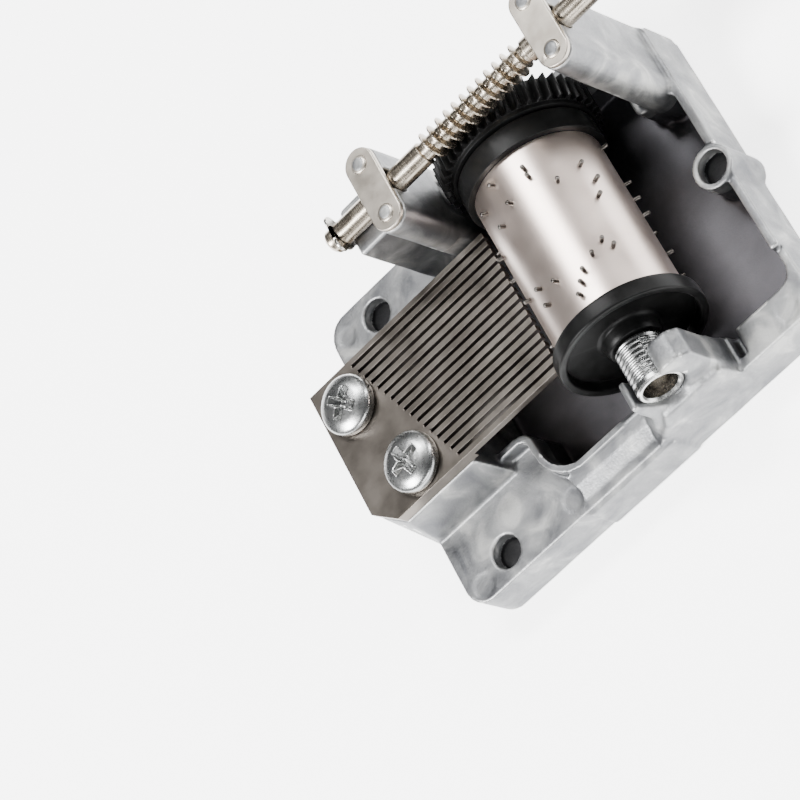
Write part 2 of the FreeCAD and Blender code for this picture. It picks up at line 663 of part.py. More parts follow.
def make_crank_arm():
    body = doc.addObject("PartDesign::Body", "crank_body")
    plan = sketch_on(body, "YZ_Plane", "crank_plan")
    big = 2.3
    small = 1.9
    reach = size("crank_reach")
    lean = math.asin((big - small) / reach)
    over = Vector(math.sin(lean), math.cos(lean), 0)
    under = Vector(over.x, -over.y, 0)
    foot = Vector(reach, 0, 0)
    plan.addGeometry(Part.Arc(over * big, Vector(-big, 0, 0), under * big), False)
    plan.addGeometry(Part.LineSegment(under * big, foot + under * small), False)
    plan.addGeometry(Part.Arc(foot + under * small, foot + Vector(small, 0, 0), foot + over * small), False)
    plan.addGeometry(Part.LineSegment(foot + over * small, over * big), False)
    plan.addGeometry(Part.Circle(Vector(), Vector(0, 0, 1), size("shaft_rad") - 0.3), False)
    plan.addGeometry(Part.Circle(foot, Vector(0, 0, 1), 0.8), False)
    plate = body.newObject("PartDesign::Pad", "crank_plate")
    plate.Profile = plan
    bind(plate, Length="{crank_thick}")
    place(body, "{shaft_right} - 2.4", "{shaft_y}", "{shaft_z}")
    return finish(body, "crank_arm")


def make_crank_nut():
    """The dome nut that clamps the arm on the shaft's reduced end."""
    z = size("shaft_z")
    start = size("shaft_right") - 2.4 + size("crank_thick")
    centre = Vector(start, size("shaft_y"), z)
    corners = [centre + Vector(0, 2.1 * math.cos(math.radians(a)), 2.1 * math.sin(math.radians(a)))
               for a in range(0, 361, 60)]
    hexagon = Part.Face(Part.makePolygon(corners)).extrude(Vector(1.0, 0, 0))
    dome = Part.makeCone(1.75, 1.1, 0.8, centre + Vector(1.0, 0, 0), Vector(1, 0, 0))
    nut = hexagon.fuse(dome).cut(Part.makeCylinder(size("shaft_rad") - 0.3, 1.2, centre, Vector(1, 0, 0)))
    return finish(shaped("crank_nut", nut), "crank_nut")


def make_knob_pin():
    """The shouldered rivet that the knob turns on."""
    where = {"axis": "x", "y": "{shaft_y} + {crank_reach}", "z": "{shaft_z}"}
    tail = rod("pin_tail", "0.8", "{crank_thick}", x="{shaft_right} - 2.4", **where)
    back = rod("pin_back", "1.3", "0.4", x="{shaft_right} - 2.8", **where)
    stem = rod("pin_stem", "1.1", "{knob_long} + 0.3", x="{shaft_right} - 2.4 + {crank_thick}", **where)
    head = rod("pin_head", "1.7", "0.6", x="{shaft_right} - 2.1 + {crank_thick} + {knob_long}", **where)
    return finish(fuse("knob_rivet", [tail, back, stem, head]), "knob_pin")


def make_knob():
    """The turned grip: waisted, with rounded ends."""
    long = size("knob_long")
    wide = size("knob_rad")
    bore = 1.16
    body = doc.addObject("PartDesign::Body", "knob_body")
    section = sketch_on(body, "XY_Plane", "knob_section")
    corners = [(0.15, bore), (0.15, wide - 1.0), (0.6, wide - 0.75)]
    waist = [(long * t, wide - 0.75 + 0.75 * math.sin(math.pi * (t - 0.07) / 1.25) ** 2)
             for t in (0.2, 0.35, 0.5, 0.65, 0.8)]
    corners += waist + [(long - 0.5, wide - 0.35), (long - 0.1, wide - 0.9), (long - 0.1, bore)]
    draw_polygon(section, corners)
    turned = body.newObject("PartDesign::Revolution", "knob_turned")
    turned.Profile = section
    turned.ReferenceAxis = (section, ["H_Axis"])
    turned.Angle = 360
    place(body, "{shaft_right} - 2.4 + {crank_thick}", "{shaft_y} + {crank_reach}", "{shaft_z}")
    return finish(body, "crank_knob")


# ---------------------------------------------------------------- build, check and write

finish(shaped("casting", make_base()), "base_casting")
make_comb()
make_screws()
make_leads()
make_dampers()
make_sleeve()
make_end_wheel()
make_gear()
make_arbor()
make_bush()
make_rear_bush()
make_strap("left")
make_strap("right")
make_worm_shaft()
make_clip()
make_crank_hub()
make_crank_arm()
make_crank_nut()
make_knob_pin()
make_knob()
doc.recompute()

for thing in doc.Objects:
    if "Invalid" in thing.State or "Error" in thing.State:
        raise RuntimeError("%s failed: %s" % (thing.Name, thing.State))
for thing in parts:
    if thing.Shape.isNull() or not thing.Shape.isValid():
        raise RuntimeError("%s has no valid shape" % thing.Label)

os.makedirs("parts", exist_ok=True)
for thing in parts:
    thing.Shape.exportStep("parts/%s.step" % thing.Label)
    print("%-16s solids %d volume %.2f" % (thing.Label, len(thing.Shape.Solids), thing.Shape.Volume))
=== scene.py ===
import math

import bmesh
import bpy
from mathutils import Matrix, Vector, noise


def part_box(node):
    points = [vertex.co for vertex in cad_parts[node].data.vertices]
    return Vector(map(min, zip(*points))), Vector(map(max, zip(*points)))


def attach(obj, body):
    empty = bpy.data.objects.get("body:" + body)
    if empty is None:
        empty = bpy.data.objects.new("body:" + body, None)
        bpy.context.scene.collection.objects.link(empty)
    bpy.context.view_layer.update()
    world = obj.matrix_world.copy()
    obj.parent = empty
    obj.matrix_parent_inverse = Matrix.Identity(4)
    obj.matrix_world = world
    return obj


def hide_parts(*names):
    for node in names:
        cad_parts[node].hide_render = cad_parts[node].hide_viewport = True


# A hand-cranked cylinder music movement. Shapes are made in millimetres in the CAD's own frame
# (X along the comb's teeth, Y along the drum's axis, Z up) and scaled to metres when they are finished.

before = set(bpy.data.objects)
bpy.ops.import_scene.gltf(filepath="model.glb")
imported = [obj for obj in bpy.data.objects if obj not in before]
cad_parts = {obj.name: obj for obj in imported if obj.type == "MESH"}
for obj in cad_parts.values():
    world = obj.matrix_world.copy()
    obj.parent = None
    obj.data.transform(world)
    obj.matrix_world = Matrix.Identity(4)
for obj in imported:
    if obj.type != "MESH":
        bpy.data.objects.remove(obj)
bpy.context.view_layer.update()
MM = 0.001
X, Y, Z = Vector((1, 0, 0)), Vector((0, 1, 0)), Vector((0, 0, 1))


def span(node):
    """A CAD node's lowest and highest corners, in millimetres."""
    low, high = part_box(node)
    return low / MM, high / MM


def middle(node):
    low, high = span(node)
    return (low + high) / 2


# ---------------------------------------------------------------- finishes

def add(tree, kind, **values):
    """A shader node whose named sockets are set to numbers or joined to other sockets."""
    made = tree.nodes.new("ShaderNode" + kind)
    for name, value in values.items():
        if hasattr(made, name) and name not in ("inputs", "outputs"):
            setattr(made, name, value)
            continue
        socket = made.inputs[name.replace("_", " ")]
        if isinstance(value, bpy.types.NodeSocket):
            tree.links.new(value, socket)
        else:
            socket.default_value = value
    return made


def noise_at(tree, size, stretch=(1, 1, 1), detail=4.0, swirl=0.0):
    """Noise with features of one size in millimetres, drawn out along an axis by its stretch."""
    where = add(tree, "TexCoord").outputs["Object"]
    scaled = add(tree, "Mapping", Vector=where, Scale=[1 / (MM * size * s) for s in stretch])
    grain = add(tree, "TexNoise", Vector=scaled.outputs[0], Scale=1.0, Detail=detail, Distortion=swirl)
    return grain.outputs["Fac"]


def ramp(tree, source, stops):
    made = add(tree, "ValToRGB", Fac=source)
    scale = made.color_ramp
    while len(scale.elements) < len(stops):
        scale.elements.new(0.5)
    for element, (place, colour) in zip(scale.elements, stops):
        element.position = place
        element.color = (*colour, 1)
    return made.outputs["Color"]


def look(name, shades, rough, metallic=1.0, patch=2.0, swirl=0.0, grain=0.08, stretch=(1, 1, 1), depth=0.004,
         edge_wear_and_highlight=None, coat=0.0, shine=0.5):
    """A finish whose colour drifts through its shades in patches, and whose gloss and surface have a grain.

    patch and grain are sizes in millimetres, and depth is how deep the grain is. The edge colour is partly
    wear and partly a painted highlight on sharp edges; it suits only a finely meshed piece, since each vertex
    holds its own measure of edge."""
    material = bpy.data.materials.new(name)
    material.use_nodes = True
    tree = material.node_tree
    shader = tree.nodes["Principled BSDF"]
    shader.inputs["Metallic"].default_value = metallic
    shader.inputs["Coat Weight"].default_value = coat
    shader.inputs["Specular IOR Level"].default_value = shine
    patches = noise_at(tree, patch, detail=6.0, swirl=swirl)
    places = [0.32 + 0.36 * i / (len(shades) - 1) for i in range(len(shades))]
    colour = ramp(tree, patches, list(zip(places, shades)))
    # Sharp edges are lightened by pointiness: partly edge wear, partly a painted highlight.
    if edge_wear_and_highlight:
        edges = add(tree, "NewGeometry").outputs["Pointiness"]
        edge_wear_and_highlight_mask = add(tree, "MapRange", Value=edges, From_Min=0.52, From_Max=0.60).outputs[0]
        mix = add(tree, "MixRGB", Fac=edge_wear_and_highlight_mask, Color1=colour, Color2=(*edge_wear_and_highlight, 1))
        colour = mix.outputs[0]
    tree.links.new(colour, shader.inputs["Base Color"])
    fine = noise_at(tree, grain, stretch, detail=3.0)
    gloss = add(tree, "Math", operation="ADD")
    tree.links.new(patches, gloss.inputs[0])
    tree.links.new(fine, gloss.inputs[1])
    spread = add(tree, "MapRange", Value=gloss.outputs[0], From_Min=0.7, From_Max=1.3, To_Min=rough[0],
                 To_Max=rough[1])
    tree.links.new(spread.outputs[0], shader.inputs["Roughness"])
    bump = add(tree, "Bump", Height=fine, Distance=depth * MM, Strength=1.0)
    tree.links.new(bump.outputs[0], shader.inputs["Normal"])
    return material


# For cast_zinc, black_plastic and bright_zinc, the edge colour is partly wear and partly a painted highlight.
zinc = look("cast_zinc",
            [(0.12, 0.123, 0.13), (0.17, 0.173, 0.178), (0.23, 0.233, 0.235), (0.36, 0.36, 0.35)],
            (0.42, 0.58), patch=3.6, swirl=0.9, grain=0.22, depth=0.02, edge_wear_and_highlight=(0.60, 0.60, 0.59))
# A darker copy of the zinc for the tray's floor and walls: painted shade under the drum and inside the walls.
tray_painted_shade = look("tray_painted_shade", [(0.075, 0.073, 0.08), (0.10, 0.098, 0.106)], (0.42, 0.55), patch=5.0,
                 swirl=0.6, grain=0.14, depth=0.006)
# A near-black finish for the screw holes: painted shade.
hole_painted_shade = look("hole_painted_shade", [(0.012, 0.012, 0.013), (0.03, 0.03, 0.032)], (0.5, 0.7), patch=1.0, grain=0.1)
comb_steel = look("comb_steel", [(0.13, 0.115, 0.10), (0.19, 0.17, 0.15)], (0.32, 0.42), patch=3.0,
                  grain=0.05, stretch=(30, 1, 1), depth=0.004)
nickel = look("sleeve_nickel", [(0.52, 0.44, 0.395), (0.62, 0.53, 0.48)], (0.30, 0.38), patch=5.0, grain=0.05,
              stretch=(12, 1, 12), depth=0.0012)
# A darker finish for the pins than for the sleeve: painted shade on their sides.
pin_painted_shade = look("pin_painted_shade", [(0.05, 0.045, 0.04), (0.14, 0.13, 0.12)], (0.25, 0.4), patch=0.5)
black = look("black_plastic", [(0.002, 0.002, 0.002), (0.005, 0.005, 0.005)], (0.30, 0.44), metallic=0.0,
             patch=1.5, grain=0.09, depth=0.004, edge_wear_and_highlight=(0.008, 0.008, 0.008), shine=0.10)
shaft_steel = look("shaft_steel", [(0.28, 0.24, 0.19), (0.40, 0.355, 0.295)], (0.20, 0.32), patch=1.5,
                   grain=0.05, stretch=(1, 25, 25), depth=0.003)
strap_nickel = look("strap_nickel", [(0.36, 0.325, 0.28), (0.48, 0.44, 0.385)], (0.32, 0.44), patch=1.6,
                    grain=0.1, depth=0.004)
bright_zinc = look("bright_zinc", [(0.26, 0.265, 0.265), (0.38, 0.382, 0.378)], (0.24, 0.32), patch=3.0,
                   grain=0.2, depth=0.002, edge_wear_and_highlight=(0.62, 0.62, 0.60))
spring_steel = look("spring_steel", [(0.30, 0.28, 0.25), (0.48, 0.46, 0.43)], (0.2, 0.34), patch=0.8)
brass = look("turned_brass", [(0.56, 0.40, 0.16), (0.72, 0.55, 0.26)], (0.2, 0.34), patch=1.2, grain=0.05,
             stretch=(20, 1, 20), depth=0.003)
lead = look("dull_lead", [(0.06, 0.06, 0.065), (0.12, 0.12, 0.13)], (0.5, 0.7), patch=0.6, depth=0.01)
film = look("damper_film", [(0.45, 0.40, 0.30), (0.60, 0.55, 0.42)], (0.2, 0.3), metallic=0.0, patch=0.8)
knob_black = look("knob_plastic", [(0.006, 0.006, 0.006), (0.012, 0.012, 0.012)], (0.14, 0.26), metallic=0.0,
                  patch=2.0, grain=0.1, depth=0.002, coat=0.3)
arbor_steel_and_bore_shade = look("arbor_steel_and_bore_shade", [(0.26, 0.25, 0.23), (0.45, 0.43, 0.40)], (0.18, 0.3), patch=1.0)


# ---------------------------------------------------------------- shapes

def cad_copy(node):
    """A CAD node's shape, welded, as the start of a new piece."""
    form = bmesh.new()
    form.from_mesh(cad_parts[node].data)
    form.transform(Matrix.Scale(1 / MM, 4))
    bmesh.ops.remove_doubles(form, verts=form.verts[:], dist=0.002)
    return form


def eased(profile, reach=0.06, steps=3):
    """The profile with each corner turned into a small curve. Ends on the axis stay as they are."""
    result = []
    count = len(profile)
    for index, here in enumerate(profile):
        open_end = index in (0, count - 1) and profile[0][1] == 0
        if open_end:
            result.append(here)
            continue
        here = Vector(here)
        before = Vector(profile[index - 1]) - here
        after = Vector(profile[(index + 1) % count]) - here
        if before.angle(-after, 0) < math.radians(4):
            result.append(tuple(here))
            continue
        start = here + before * min(0.45, reach / before.length)
        end = here + after * min(0.45, reach / after.length)
        for step in range(steps + 1):
            t = step / steps
            result.append(tuple(start * (1 - t) ** 2 + here * 2 * t * (1 - t) + end * t * t))
    return result


def lathe(profile, centre, axis=Y, segments=128, ridge=None):
    """A profile of (along, radius) points turned about an axis. ridge adds to the radius at a place."""
    side = Y if axis == X else X
    up = Y if axis == Z else Z
    form = bmesh.new()
    columns = []
    for turn in range(segments):
        angle = 2 * math.pi * turn / segments
        out = side * math.cos(angle) + up * math.sin(angle)
        columns.append([form.verts.new(centre + axis * along
                                       + out * (radius + (ridge(along, angle, radius) if ridge else 0)))
                        for along, radius in profile])
    count = len(profile)
    runs = count - 1 if profile[0][1] == 0 else count
    for turn, here in enumerate(columns):
        there = columns[(turn + 1) % segments]
        for index in range(runs):
            after = (index + 1) % count
            form.faces.new((here[index], here[after], there[after], there[index]))
    bmesh.ops.remove_doubles(form, verts=form.verts[:], dist=1e-4)
    bmesh.ops.recalc_face_normals(form, faces=form.faces[:])
    return form


def join(forms):
    """Several shapes as one, each keeping its own closed skin."""
    whole = forms[0]
    for form in forms[1:]:
        part = bpy.data.meshes.new("part")
        form.to_mesh(part)
        form.free()
        whole.from_mesh(part)
        bpy.data.meshes.remove(part)
    return whole


def to_object(name, form):
    mesh = bpy.data.meshes.new(name)
    form.to_mesh(mesh)
    form.free()
    piece = bpy.data.objects.new(name, mesh)
    bpy.context.scene.collection.objects.link(piece)
    return piece


def bake_modifiers(piece):
    graph = bpy.context.evaluated_depsgraph_get()
    graph.update()
    mesh = bpy.data.meshes.new_from_object(piece.evaluated_get(graph))
    piece.modifiers.clear()
    piece.data = mesh


def softened(piece, width, steps=2):
    """Flat faces made whole, and every sharp edge rounded a little."""
    form = bmesh.new()
    form.from_mesh(piece.data)
    bmesh.ops.dissolve_limit(form, angle_limit=math.radians(0.5), verts=form.verts[:], edges=form.edges[:])
    form.to_mesh(piece.data)
    form.free()
    bevel = piece.modifiers.new("edges", "BEVEL")
    bevel.width = width
    bevel.segments = steps
    bevel.angle_limit = math.radians(32)
    bevel.use_clamp_overlap = False
    bevel.miter_outer = "MITER_ARC"
    bake_modifiers(piece)
    return piece


def melted(piece, voxel, rounds):
    """One skin round everything in the piece, with its corners flowed as in a casting."""
    skin = piece.modifiers.new("skin", "REMESH")
    skin.mode = "VOXEL"
    skin.voxel_size = voxel
    skin.use_smooth_shade = True
    flow = piece.modifiers.new("flow", "SMOOTH")
    flow.factor = 0.5
    flow.iterations = rounds
    bake_modifiers(piece)


def rippled(piece, depth, size):
    """Slow unevenness over the whole surface, as a casting has."""
    mesh = piece.data
    spots = [vertex.co.copy() for vertex in mesh.vertices]
    normals = [vertex.normal.copy() for vertex in mesh.vertices]
    moved = [spot + normal * depth * noise.noise(spot / size) for spot, normal in zip(spots, normals)]
    mesh.vertices.foreach_set("co", [value for spot in moved for value in spot])
    mesh.update()


def settle(piece, body, slot, *finishes, replaces=(), crease=38):
    """The finished piece, in metres, with its finishes, its body and the CAD nodes it stands for."""
    mesh = piece.data
    mesh.transform(Matrix.Scale(MM, 4))
    for finish in finishes:
        mesh.materials.append(finish)
    mesh.shade_smooth()
    mesh.set_sharp_from_angle(angle=math.radians(crease))
    if crease < 90:
        weigh = piece.modifiers.new("normals", "WEIGHTED_NORMAL")
        weigh.keep_sharp = True
        bake_modifiers(piece)
    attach(piece, body)
    if replaces:
        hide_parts(*replaces)


# ---------------------------------------------------------------- cast base

drum_axis = middle("drum_arbor")
drum_axis.y = 0
PLATE_TOP = 4.5
TRAY_FLOOR = 1.2
HOLES = ((-15.7, 13.9, PLATE_TOP), (-15.7, -13.9, PLATE_TOP), (19.9, 0.0, 5.45))
HOLE_RAD = 1.42
HOLE_EDGE = 0.55
TRAY_X = (-10.3, 20.5)
TRAY_Y = (-13.1, 15.4)
TRAY_WALL_TOP = 3.8
TRAY_TOP = 4.2


def surface_kind(spot, normal):
    """0 for the casting's outer skin, 1 for the tray's smooth floor and walls, which are painted darker as
    painted shade, and 2 for the screw holes, painted near-black as painted shade.
    """
    for x, y, top in HOLES:
        if math.hypot(spot.x - x, spot.y - y) < HOLE_RAD and spot.z < top - HOLE_EDGE:
            return 2
    inside = TRAY_X[0] < spot.x < TRAY_X[1] and TRAY_Y[0] < spot.y < TRAY_Y[1]
    if inside and TRAY_FLOOR - 0.2 < spot.z < TRAY_TOP and (normal.z > 0.6 or spot.z < TRAY_WALL_TOP):
        return 1
    return 0


def flowed(piece, chosen, rounds):
    """The chosen vertices smoothed further than the rest."""
    group = piece.vertex_groups.new(name="soft")
    group.add([v.index for v in piece.data.vertices if chosen(v.co)], 1.0, "REPLACE")
    flow = piece.modifiers.new("flow", "SMOOTH")
    flow.factor = 0.5
    flow.iterations = rounds
    flow.vertex_group = group.name
    bake_modifiers(piece)
    piece.vertex_groups.clear()


def on_bush_post(spot):
    """Whether a place is on the post that cradles the threaded bush."""
    return spot.y < -12.6 and spot.z > 5.0 and abs(spot.x - drum_axis.x) < 6.5


def casting():
    """The cast base as one flowed skin, with painted shade in the tray and in the screw holes: darker
    finishes there.
    """
    piece = to_object("cast_base", cad_copy("base_casting"))
    melted(piece, 0.15, 4)
    flowed(piece, on_bush_post, 30)
    rippled(piece, 0.025, 2.2)
    # Tray faces and screw-hole faces get darker finishes as painted shade.
    for face in piece.data.polygons:
        face.material_index = surface_kind(face.center, face.normal)
    settle(piece, "base", "cast_zinc", zinc, tray_painted_shade, hole_painted_shade, replaces=("base_casting",), crease=180)


STUD_RAD = 0.87
RIVET_GAP = 5.7


def stud_heads():
    """The peened heads of the four studs that hold the straps."""
    shaft = middle("worm_shaft")
    for side in ("left", "right"):
        low, high = span("strap_" + side)
        centre_x = (low.x + high.x) / 2
        for number, offset in enumerate((-RIVET_GAP / 2, RIVET_GAP / 2)):
            profile = eased([(-0.4, 0), (-0.4, STUD_RAD * 0.86), (0.0, STUD_RAD), (0.12, STUD_RAD - 0.08),
                             (0.2, STUD_RAD - 0.34), (0.24, 0)], 0.1)
            form = lathe(profile, Vector((centre_x, shaft.y + offset, high.z)), Z, 48)
            piece = to_object("stud_%s_%d" % (side, number), form)
            settle(piece, "base", "cast_zinc", strap_nickel)


# ---------------------------------------------------------------- comb

def comb():
    piece = softened(to_object("tooth_comb", cad_copy("comb")), 0.04)
    settle(piece, "base", "comb_steel", comb_steel, replaces=("comb",))


SCREW_HEAD = 2.85
SCREW_SHANK = 1.29
CROSS_TURNS = (42, 15)
CROSS_LONG = 3.9
CROSS_WIDE = 0.95
CROSS_FOOT = 0.5
CROSS_DEEP = 1.0


def screw_spots():
    low, high = span("comb_screws")
    return [Vector((low.x + SCREW_HEAD, high.y - SCREW_HEAD, high.z)),
            Vector((high.x - SCREW_HEAD, low.y + SCREW_HEAD, high.z))]


def tapered_bar(length, top_wide, low_wide, top, low):
    """A bar across the origin that narrows downward, to cut one arm of a cross recess."""
    form = bmesh.new()
    rings = []
    for level, wide, long in ((top, top_wide, length), (low, low_wide, length * 0.35)):
        rings.append([form.verts.new((x * long / 2, y * wide / 2, level))
                      for x, y in ((-1, -1), (1, -1), (1, 1), (-1, 1))])
    for index in range(4):
        after = (index + 1) % 4
        form.faces.new((rings[0][index], rings[0][after], rings[1][after], rings[1][index]))
    form.faces.new(rings[0])
    form.faces.new(rings[1])
    bmesh.ops.recalc_face_normals(form, faces=form.faces[:])
    return form


def comb_screws():
    """Two pan-head screws with cross recesses."""
    heads = []
    low = span("comb_screws")[0].z
    for spot, turn in zip(screw_spots(), CROSS_TURNS):
        profile = eased([(-1.7, 0), (-1.7, SCREW_HEAD - 0.12), (-0.95, SCREW_HEAD),
                         (-0.55, SCREW_HEAD - 0.18), (-0.16, SCREW_HEAD - 0.95),
                         (-0.02, SCREW_HEAD - 1.8), (0, 0)], 0.3, 4)
        head = to_object("head", lathe(profile, Vector(), Z, 96))
        for angle in (turn, turn + 90):
            bar = tapered_bar(CROSS_LONG, CROSS_WIDE, CROSS_FOOT, 0.3, -CROSS_DEEP)
            bar.transform(Matrix.Rotation(math.radians(angle), 4, "Z"))
            cutter = to_object("cutter", bar)
            cut = head.modifiers.new("cross", "BOOLEAN")
            cut.operation = "DIFFERENCE"
            cut.solver = "EXACT"
            cut.object = cutter
            bake_modifiers(head)
            bpy.data.objects.remove(cutter)
        melted(head, 0.06, 3)
        form = bmesh.new()
        form.from_mesh(head.data)
        form.transform(Matrix.Translation(spot))
        bpy.data.objects.remove(head)
        heads.append(form)
        shank = eased([(low + 0.02, 0), (low + 0.02, 1.0), (low + 0.4, SCREW_SHANK),
                       (spot.z - 1.6, SCREW_SHANK), (spot.z - 1.6, 0)])
        heads.append(lathe(shank, Vector((spot.x, spot.y, 0)), Z, 48))
    settle(to_object("comb_screw_pair", join(heads)), "base", "screw_zinc", bright_zinc,
           replaces=("comb_screws",), crease=60)


# ---------------------------------------------------------------- drum

NOTE_PITCH = 0.9
FIRST_NOTE = 8.135
STEPS = 60
PIN_RAD = 0.21
PIN_TALL = 0.68
# For each note, the steps of one turn at which a pin plucks it.
TUNE = [(30, 44), (17, 36, 49, 58), (12, 21, 33, 41), (12, 29, 38, 52), (5, 16, 31, 45), (9, 19, 40, 56),
        (4, 24, 35, 50), (28, 43, 56), (5, 37, 47), (32, 56), (39, 53), (34, 46), (23, 42, 51),
        (8, 19, 30, 48), (7, 10, 16, 38, 56), (12, 19, 29, 44), (13, 33, 49, 54), (14, 36, 45)]
SLEEVE_RAD = 6.13
SLEEVE_WALL = 0.4
WHEEL_THICK = 1.71


def sleeve():
    """The drum's sleeve and its pins, the pins with a darker finish of their own as painted shade."""
    low, high = span("drum_sleeve")
    inner = SLEEVE_RAD - SLEEVE_WALL
    tube = lathe(eased([(low.y, inner), (low.y, SLEEVE_RAD), (high.y, SLEEVE_RAD), (high.y, inner)], 0.08),
                 drum_axis, Y, 192)
    pins = []
    for note, steps in enumerate(TUNE):
        for step in steps:
            angle = 2 * math.pi * step / STEPS
            out = Vector((math.cos(angle), 0, math.sin(angle)))
            profile = eased([(-0.2, 0), (-0.2, PIN_RAD), (PIN_TALL - 0.06, PIN_RAD), (PIN_TALL, 0)], 0.09)
            pin = lathe(profile, Vector(), Z, 20)
            place = drum_axis + Y * (FIRST_NOTE - note * NOTE_PITCH) + out * SLEEVE_RAD
            pin.transform(Matrix.Translation(place) @ out.to_track_quat("Z", "Y").to_matrix().to_4x4())
            pins.append(pin)
    tube_faces = len(tube.faces)
    whole = join([tube] + pins)
    whole.faces.ensure_lookup_table()
    # The pins take the darker finish: painted shade.
    for face in whole.faces[tube_faces:]:
        face.material_index = 1
    settle(to_object("pinned_sleeve", whole), "drum", "sleeve_nickel", nickel, pin_painted_shade,
           replaces=("drum_sleeve",))


def end_wheel():
    """The wheel at the bush's end: a rim round a dished web, a hub outside and a spigot in the sleeve."""
    low, high = span("drum_end_wheel")
    rim = (high.x - low.x) / 2
    start = span("drum_sleeve")[0].y
    face = start - WHEEL_THICK
    hub_end = low.y
    profile = [(start, 1.3), (start, rim - 0.5), (start - 0.12, rim - 0.04), (start - 0.4, rim),
               (face + 0.12, rim), (face, rim - 0.1), (face, rim - 0.62), (face + 0.12, rim - 0.75),
               (start - 0.62, rim - 0.82), (start - 0.62, 3.0), (start - 0.85, 2.72), (hub_end + 0.4, 2.58),
               (hub_end, 2.42), (hub_end, 1.3)]
    inside = [(start - 0.05, 1.3), (start - 0.05, 5.72), (high.y, 5.70), (high.y, 4.85), (start + 0.4, 4.85),
              (start + 0.4, 2.4), (start + 7.4, 2.4), (start + 7.4, 1.3)]
    form = join([lathe(eased(profile, 0.12), drum_axis, Y, 160), lathe(eased(inside), drum_axis, Y, 96)])
    settle(to_object("end_wheel", form), "drum", "black_plastic", black, replaces=("drum_end_wheel",))


def worm_wheel():
    piece = softened(to_object("worm_wheel", cad_copy("drum_gear")), 0.05)
    settle(piece, "drum", "black_plastic", black, replaces=("drum_gear",))


def arbor():
    low, high = span("drum_arbor")
    rad = (high.x - low.x) / 2
    profile = [(low.y, 0), (low.y, rad - 0.15), (low.y + 0.2, rad), (high.y - 0.2, rad), (high.y, rad - 0.15),
               (high.y, 0)]
    settle(to_object("arbor", lathe(eased(profile), drum_axis, Y, 96)), "drum", "shaft_steel", arbor_steel_and_bore_shade,
           replaces=("drum_arbor",))


BUSH_RAD = 2.2
BUSH_BORE = 1.65
THREAD_PITCH = 0.5
THREAD_DEEP = 0.16


def bush():
    """The threaded bush: a fine thread outside, with plain ends, and a chamfered bore whose faces take the
    arbor's steel finish as painted shade.
    """
    low, high = span("end_bush")
    first = low.y + 0.55
    last = high.y - 0.3

    def thread(along, angle, radius):
        if radius < BUSH_RAD - 0.01:
            return 0
        fade = min(1, max(0, (along - first) / 0.25), max(0, (last - along) / 0.25))
        phase = (along / THREAD_PITCH - angle / (2 * math.pi)) % 1
        return -THREAD_DEEP * fade * (0.5 - 0.5 * math.cos(2 * math.pi * phase))

    rows = 150
    outer = [(low.y + 0.18 + (high.y - low.y - 0.36) * row / rows, BUSH_RAD) for row in range(rows + 1)]
    ends = [(high.y, BUSH_RAD - 0.3), (high.y, 1.36), (-13.1, 1.36), (-13.1, BUSH_BORE),
            (low.y + 0.2, BUSH_BORE), (low.y, BUSH_BORE + 0.16), (low.y, BUSH_RAD - 0.17)]
    form = lathe(outer + ends, drum_axis, Y, 120, thread)
    # The bore's faces get the arbor's steel finish, put there as painted shade inside the bore.
    for face in form.faces:
        off = face.calc_center_median() - drum_axis
        face.material_index = int(math.hypot(off.x, off.z) < BUSH_BORE + 0.02)
    settle(to_object("threaded_bush", form), "base", "bush_zinc", bright_zinc, arbor_steel_and_bore_shade,
           replaces=("end_bush",))


def rear_bush():
    low, high = span("rear_bush")
    rad = (high.x - low.x) / 2
    profile = eased([(low.y, 1.31), (low.y, rad), (high.y, rad), (high.y, 1.31)], 0.1)
    settle(to_object("rear_bearing", lathe(profile, drum_axis, Y, 96)), "base", "brass_bush", brass,
           replaces=("rear_bush",))


# ---------------------------------------------------------------- straps, worm and crank

SHAFT_RAD = 1.14
LEAD = 1.03
WORM_TIP = 1.5
WORM_ROOT = 0.92
WORM_START = 3.6
WORM_END = 15.9
CLIP_X = -7.95


def straps():
    for side in ("left", "right"):
        piece = softened(to_object("bearing_strap_" + side, cad_copy("strap_" + side)), 0.13, 3)
        settle(piece, "base", "strap_nickel", strap_nickel, replaces=("strap_" + side,))


